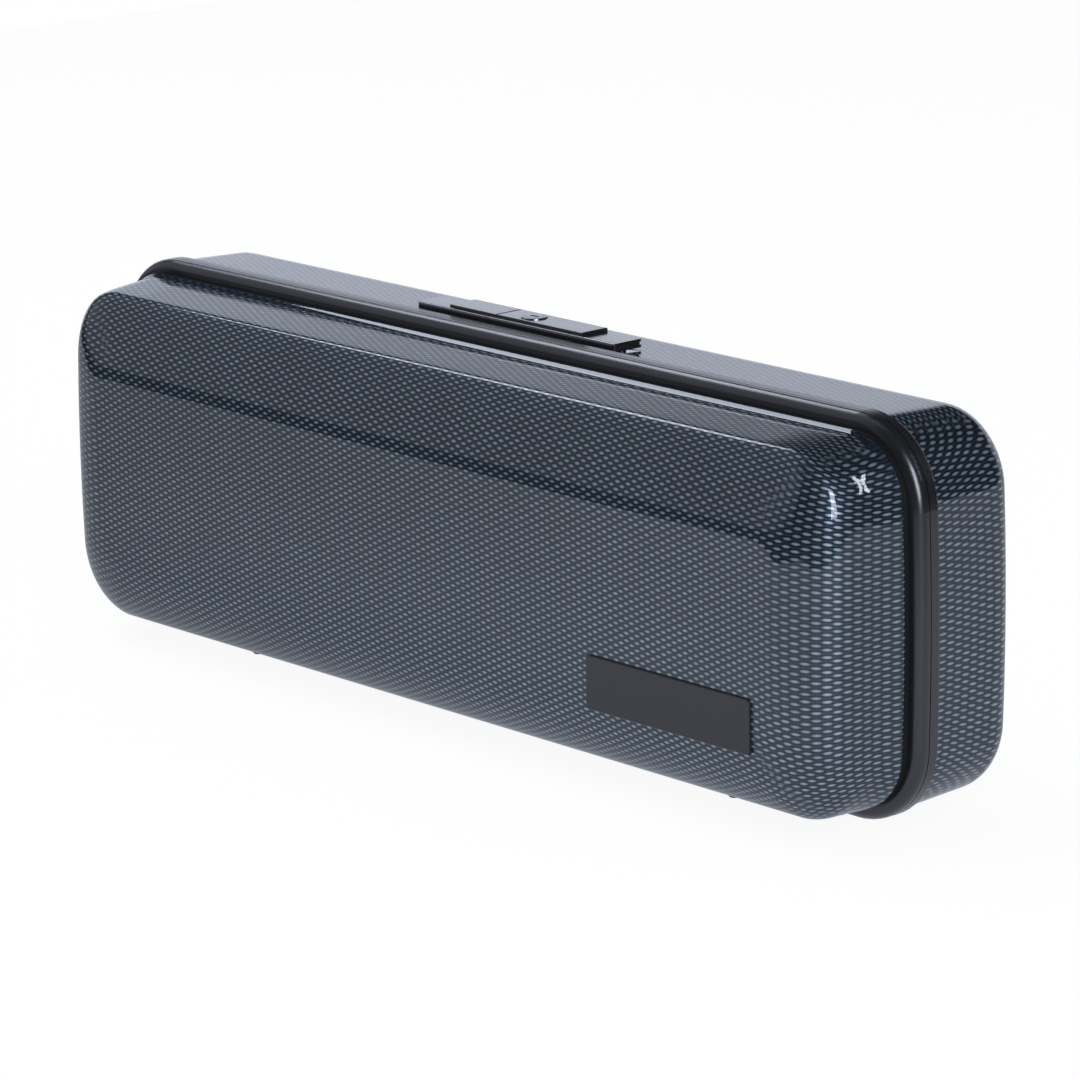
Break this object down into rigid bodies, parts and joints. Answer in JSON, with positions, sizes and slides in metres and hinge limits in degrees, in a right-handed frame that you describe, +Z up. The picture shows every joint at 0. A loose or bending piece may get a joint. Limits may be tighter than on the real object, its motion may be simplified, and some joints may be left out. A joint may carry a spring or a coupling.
{
  "type": "oboe case",
  "caption": "Slim hard-shell case for a dismantled oboe, hinged along its spine, with metal-look rims, a sliding latch with a key lock, and a fitted velvet interior.",
  "frame": {"origin": "on the floor under the middle of the closed case, which stands on its spine", "axes": "+X along the case, -Y out of the lid's front, +Z up from the spine to the latch side"},
  "size_m": [0.3296, 0.0678, 0.1129],
  "materials": {
    "shell": "woven fibre look under a clear gloss coat",
    "rim": "satin black extrusion",
    "rubber": "matt black",
    "hinge": "satin black",
    "steel": "plain",
    "latch_black": "satin black, rounded edges",
    "lock_metal": "polished face",
    "velvet": "short pile over a fitted block",
    "lining": "short pile",
    "pad": "padded, stitched channels",
    "badge": "smooth dark plate"
  },
  "bodies": {
    "base": {"base_shell": "shell", "base_rim": "rim", "instrument_bed": "velvet", "latch_rail": "latch_black", "lock_plate": "latch_black", "lock_barrel": "lock_metal", "latch_keeper": "steel", "latch_rivets": "steel", "latch_detent": "steel", "hinge_leaf_base_left": "hinge", "hinge_leaf_base_right": "hinge", "hinge_pin_left": "steel", "hinge_pin_right": "steel", "hinge_rivets_base": "steel", "base_feet": "rubber"},
    "lid": {"lid_shell": "shell", "lid_rim": "rim", "rim_bead": "rubber", "rim_seal": "rubber", "lid_lining": "lining", "lid_pad": "pad", "badge_plate": "badge", "strike_plate": "steel", "strike_rivets": "steel", "hinge_leaf_lid_left": "hinge", "hinge_leaf_lid_right": "hinge", "hinge_rivets_lid": "steel", "lid_feet": "rubber"},
    "latch": {"latch_slider": "latch_black", "latch_bolt": "steel", "bolt_screw": "steel"},
    "lock": {"lock_plug": "lock_metal", "lock_cam": "steel"}
  },
  "joints": [
    {"name": "lid_hinge", "type": "hinge", "parent": "base", "child": "lid", "pos_m": [0, 0, 0.0028], "axis": [1, 0, 0], "range_deg": [0, 105]},
    {"name": "latch_slide", "type": "slide", "parent": "base", "child": "latch", "axis": [-1, 0, 0], "range_m": [0, 0.007]},
    {"name": "lock_turn", "type": "hinge", "parent": "base", "child": "lock", "pos_m": [0.0028, 0.0109, 0.1096], "axis": [0, 0, -1], "range_deg": [0, 90]}
  ]
}
